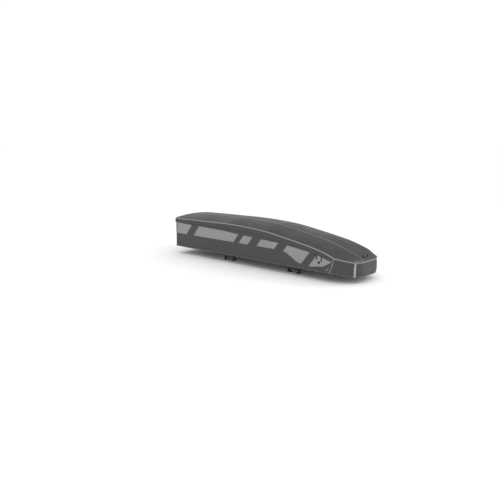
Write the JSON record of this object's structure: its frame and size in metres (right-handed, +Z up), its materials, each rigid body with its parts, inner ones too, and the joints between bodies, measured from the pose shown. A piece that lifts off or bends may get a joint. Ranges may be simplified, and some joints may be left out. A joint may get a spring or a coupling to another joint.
{
  "type": "roof box",
  "caption": "Slim soft-sided roof box with a stiff floor, a blunt sloping nose, a crowned zipped lid hinged along one side, and claw clamps for crossbars.",
  "frame": {"origin": "middle of the floor's underside", "axes": "+X towards the nose, +Y towards the hinge side, +Z up"},
  "size_m": [1.9, 0.5, 0.3642],
  "materials": {
    "lid_cloth": "matte coated polyester over foam board",
    "wall_cloth": "matte coated polyester over foam board",
    "light_cloth": "light grey coated cloth",
    "piping": "grey piping cord",
    "floor_board": "black twin-wall board",
    "zinc_steel": "zinc plated",
    "coated_steel": "black powder coat",
    "pin_steel": "turned steel",
    "pad_rubber": "black rubber",
    "black_plastic": "fine grained moulded nylon",
    "webbing": "woven polyester webbing",
    "pull_cord": "moulded pull tab",
    "zip_coil": "coil zip on tape",
    "slider_metal": "black enamelled zinc",
    "lock_metal": "black nickel plate",
    "buckle_metal": "zinc die casting",
    "fibreglass": "pultruded glass fibre"
  },
  "bodies": {
    "box": {"buckle_front": "buckle_metal", "buckle_rear": "buckle_metal", "clamp_frames": "coated_steel", "clamp_pads": "pad_rubber", "claw_pins": "pin_steel", "corner_cords": "piping", "far_band": "light_cloth", "far_wall": "wall_cloth", "floor_board_front": "floor_board", "floor_board_middle": "floor_board", "floor_board_rear": "floor_board", "floor_cloth": "wall_cloth", "hinge_tape": "wall_cloth", "load_strap_front": "webbing", "load_strap_rear": "webbing", "lock_housing": "black_plastic", "lower_zip": "zip_coil", "near_band": "light_cloth", "near_wall": "wall_cloth", "nose_board": "floor_board", "nose_strips": "light_cloth", "nose_wall": "wall_cloth", "pull_loops": "webbing", "rail_far": "zinc_steel", "rail_near": "zinc_steel", "rear_wall": "wall_cloth", "strap_anchors": "zinc_steel", "washers": "zinc_steel"},
    "lid": {"lid_panel_near": "lid_cloth", "lid_panel_far": "lid_cloth", "centre_seam": "piping", "lid_piping": "piping", "lid_tabs": "webbing", "storm_flap": "lid_cloth", "upper_zip": "zip_coil", "lid_bows": "fibreglass"},
    "slider_rear": {"slider_rear": "slider_metal"},
    "slider_front": {"slider_front": "slider_metal"},
    "pull_rear": {"pull_rear": "pull_cord"},
    "pull_front": {"pull_front": "pull_cord"},
    "lock_barrel": {"lock_barrel": "lock_metal"},
    "buckle_lever_rear": {"buckle_lever_rear": "buckle_metal"},
    "buckle_lever_front": {"buckle_lever_front": "buckle_metal"},
    "knob_rear_near": {"knob_rear_near": "black_plastic"},
    "draw_nut_rear_near": {"draw_nut_rear_near": "zinc_steel"},
    "claw_front_rear_near": {"claw_front_rear_near": "coated_steel"},
    "claw_rear_rear_near": {"claw_rear_rear_near": "coated_steel"},
    "knob_rear_far": {"knob_rear_far": "black_plastic"},
    "draw_nut_rear_far": {"draw_nut_rear_far": "zinc_steel"},
    "claw_front_rear_far": {"claw_front_rear_far": "coated_steel"},
    "claw_rear_rear_far": {"claw_rear_rear_far": "coated_steel"},
    "knob_front_near": {"knob_front_near": "black_plastic"},
    "draw_nut_front_near": {"draw_nut_front_near": "zinc_steel"},
    "claw_front_front_near": {"claw_front_front_near": "coated_steel"},
    "claw_rear_front_near": {"claw_rear_front_near": "coated_steel"},
    "knob_front_far": {"knob_front_far": "black_plastic"},
    "draw_nut_front_far": {"draw_nut_front_far": "zinc_steel"},
    "claw_front_front_far": {"claw_front_front_far": "coated_steel"},
    "claw_rear_front_far": {"claw_rear_front_far": "coated_steel"}
  },
  "joints": [
    {"name": "lid_swing", "type": "hinge", "parent": "box", "child": "lid", "pos_m": [0, 0.256, 0.262], "axis": [-1, 0, 0], "range_deg": [0, 170]},
    {"name": "slider_rear_run", "type": "slide", "parent": "box", "child": "slider_rear", "axis": [-0.9848, 0, 0.1735], "range_m": [0, 0.25]},
    {"name": "slider_front_run", "type": "slide", "parent": "box", "child": "slider_front", "axis": [0.9584, 0, -0.2856], "range_m": [0, 0.05]},
    {"name": "pull_rear_swing", "type": "hinge", "parent": "slider_rear", "child": "pull_rear", "pos_m": [0.628, -0.2485, 0.1469], "axis": [0, 1, 0], "range_deg": [0, 60]},
    {"name": "pull_front_swing", "type": "hinge", "parent": "slider_front", "child": "pull_front", "pos_m": [0.672, -0.2485, 0.13591], "axis": [0, -1, 0], "range_deg": [0, 60]},
    {"name": "lock_turn", "type": "hinge", "parent": "box", "child": "lock_barrel", "pos_m": [0.65, -0.248, 0.074], "axis": [0, -1, 0], "range_deg": [0, 90]},
    {"name": "buckle_lever_rear_lift", "type": "hinge", "parent": "box", "child": "buckle_lever_rear", "pos_m": [-0.56, -0.046, 0.0254], "axis": [-1, 0, 0], "range_deg": [0, 75], "stiffness_Nm_per_rad": 0.04},
    {"name": "buckle_lever_front_lift", "type": "hinge", "parent": "box", "child": "buckle_lever_front", "pos_m": [0.12, -0.046, 0.0254], "axis": [-1, 0, 0], "range_deg": [0, 75], "stiffness_Nm_per_rad": 0.04},
    {"name": "knob_rear_near_turn", "type": "hinge", "parent": "box", "child": "knob_rear_near", "pos_m": [-0.35, -0.15, 0.03], "axis": [0, 0, 1], "range_deg": [0, 1800]},
    {"name": "draw_nut_rear_near_drop", "type": "slide", "parent": "box", "child": "draw_nut_rear_near", "axis": [0, 0, -1], "range_m": [0, 0.01]},
    {"name": "claw_front_rear_near_open", "type": "hinge", "parent": "box", "child": "claw_front_rear_near", "pos_m": [-0.298, -0.15, -0.012], "axis": [0, -1, 0], "range_deg": [0, 19.1]},
    {"name": "claw_rear_rear_near_open", "type": "hinge", "parent": "box", "child": "claw_rear_rear_near", "pos_m": [-0.402, -0.15, -0.012], "axis": [0, 1, 0], "range_deg": [0, 19.1]},
    {"name": "knob_rear_far_turn", "type": "hinge", "parent": "box", "child": "knob_rear_far", "pos_m": [-0.35, 0.15, 0.03], "axis": [0, 0, 1], "range_deg": [0, 1800]},
    {"name": "draw_nut_rear_far_drop", "type": "slide", "parent": "box", "child": "draw_nut_rear_far", "axis": [0, 0, -1], "range_m": [0, 0.01]},
    {"name": "claw_front_rear_far_open", "type": "hinge", "parent": "box", "child": "claw_front_rear_far", "pos_m": [-0.298, 0.15, -0.012], "axis": [0, -1, 0], "range_deg": [0, 19.1]},
    {"name": "claw_rear_rear_far_open", "type": "hinge", "parent": "box", "child": "claw_rear_rear_far", "pos_m": [-0.402, 0.15, -0.012], "axis": [0, 1, 0], "range_deg": [0, 19.1]},
    {"name": "knob_front_near_turn", "type": "hinge", "parent": "box", "child": "knob_front_near", "pos_m": [0.35, -0.15, 0.03], "axis": [0, 0, 1], "range_deg": [0, 1800]},
    {"name": "draw_nut_front_near_drop", "type": "slide", "parent": "box", "child": "draw_nut_front_near", "axis": [0, 0, -1], "range_m": [0, 0.01]},
    {"name": "claw_front_front_near_open", "type": "hinge", "parent": "box", "child": "claw_front_front_near", "pos_m": [0.402, -0.15, -0.012], "axis": [0, -1, 0], "range_deg": [0, 19.1]},
    {"name": "claw_rear_front_near_open", "type": "hinge", "parent": "box", "child": "claw_rear_front_near", "pos_m": [0.298, -0.15, -0.012], "axis": [0, 1, 0], "range_deg": [0, 19.1]},
    {"name": "knob_front_far_turn", "type": "hinge", "parent": "box", "child": "knob_front_far", "pos_m": [0.35, 0.15, 0.03], "axis": [0, 0, 1], "range_deg": [0, 1800]},
    {"name": "draw_nut_front_far_drop", "type": "slide", "parent": "box", "child": "draw_nut_front_far", "axis": [0, 0, -1], "range_m": [0, 0.01]},
    {"name": "claw_front_front_far_open", "type": "hinge", "parent": "box", "child": "claw_front_front_far", "pos_m": [0.402, 0.15, -0.012], "axis": [0, -1, 0], "range_deg": [0, 19.1]},
    {"name": "claw_rear_front_far_open", "type": "hinge", "parent": "box", "child": "claw_rear_front_far", "pos_m": [0.298, 0.15, -0.012], "axis": [0, 1, 0], "range_deg": [0, 19.1]}
  ],
  "couplings": [
    {"joint": "draw_nut_rear_near_drop", "follows": "knob_rear_near_turn", "m_per_rad": 0.00031831},
    {"joint": "claw_front_rear_near_open", "follows": "knob_rear_near_turn", "ratio": 0.01061},
    {"joint": "claw_rear_rear_near_open", "follows": "knob_rear_near_turn", "ratio": 0.01061},
    {"joint": "draw_nut_rear_far_drop", "follows": "knob_rear_far_turn", "m_per_rad": 0.00031831},
    {"joint": "claw_front_rear_far_open", "follows": "knob_rear_far_turn", "ratio": 0.01061},
    {"joint": "claw_rear_rear_far_open", "follows": "knob_rear_far_turn", "ratio": 0.01061},
    {"joint": "draw_nut_front_near_drop", "follows": "knob_front_near_turn", "m_per_rad": 0.00031831},
    {"joint": "claw_front_front_near_open", "follows": "knob_front_near_turn", "ratio": 0.01061},
    {"joint": "claw_rear_front_near_open", "follows": "knob_front_near_turn", "ratio": 0.01061},
    {"joint": "draw_nut_front_far_drop", "follows": "knob_front_far_turn", "m_per_rad": 0.00031831},
    {"joint": "claw_front_front_far_open", "follows": "knob_front_far_turn", "ratio": 0.01061},
    {"joint": "claw_rear_front_far_open", "follows": "knob_front_far_turn", "ratio": 0.01061}
  ]
}
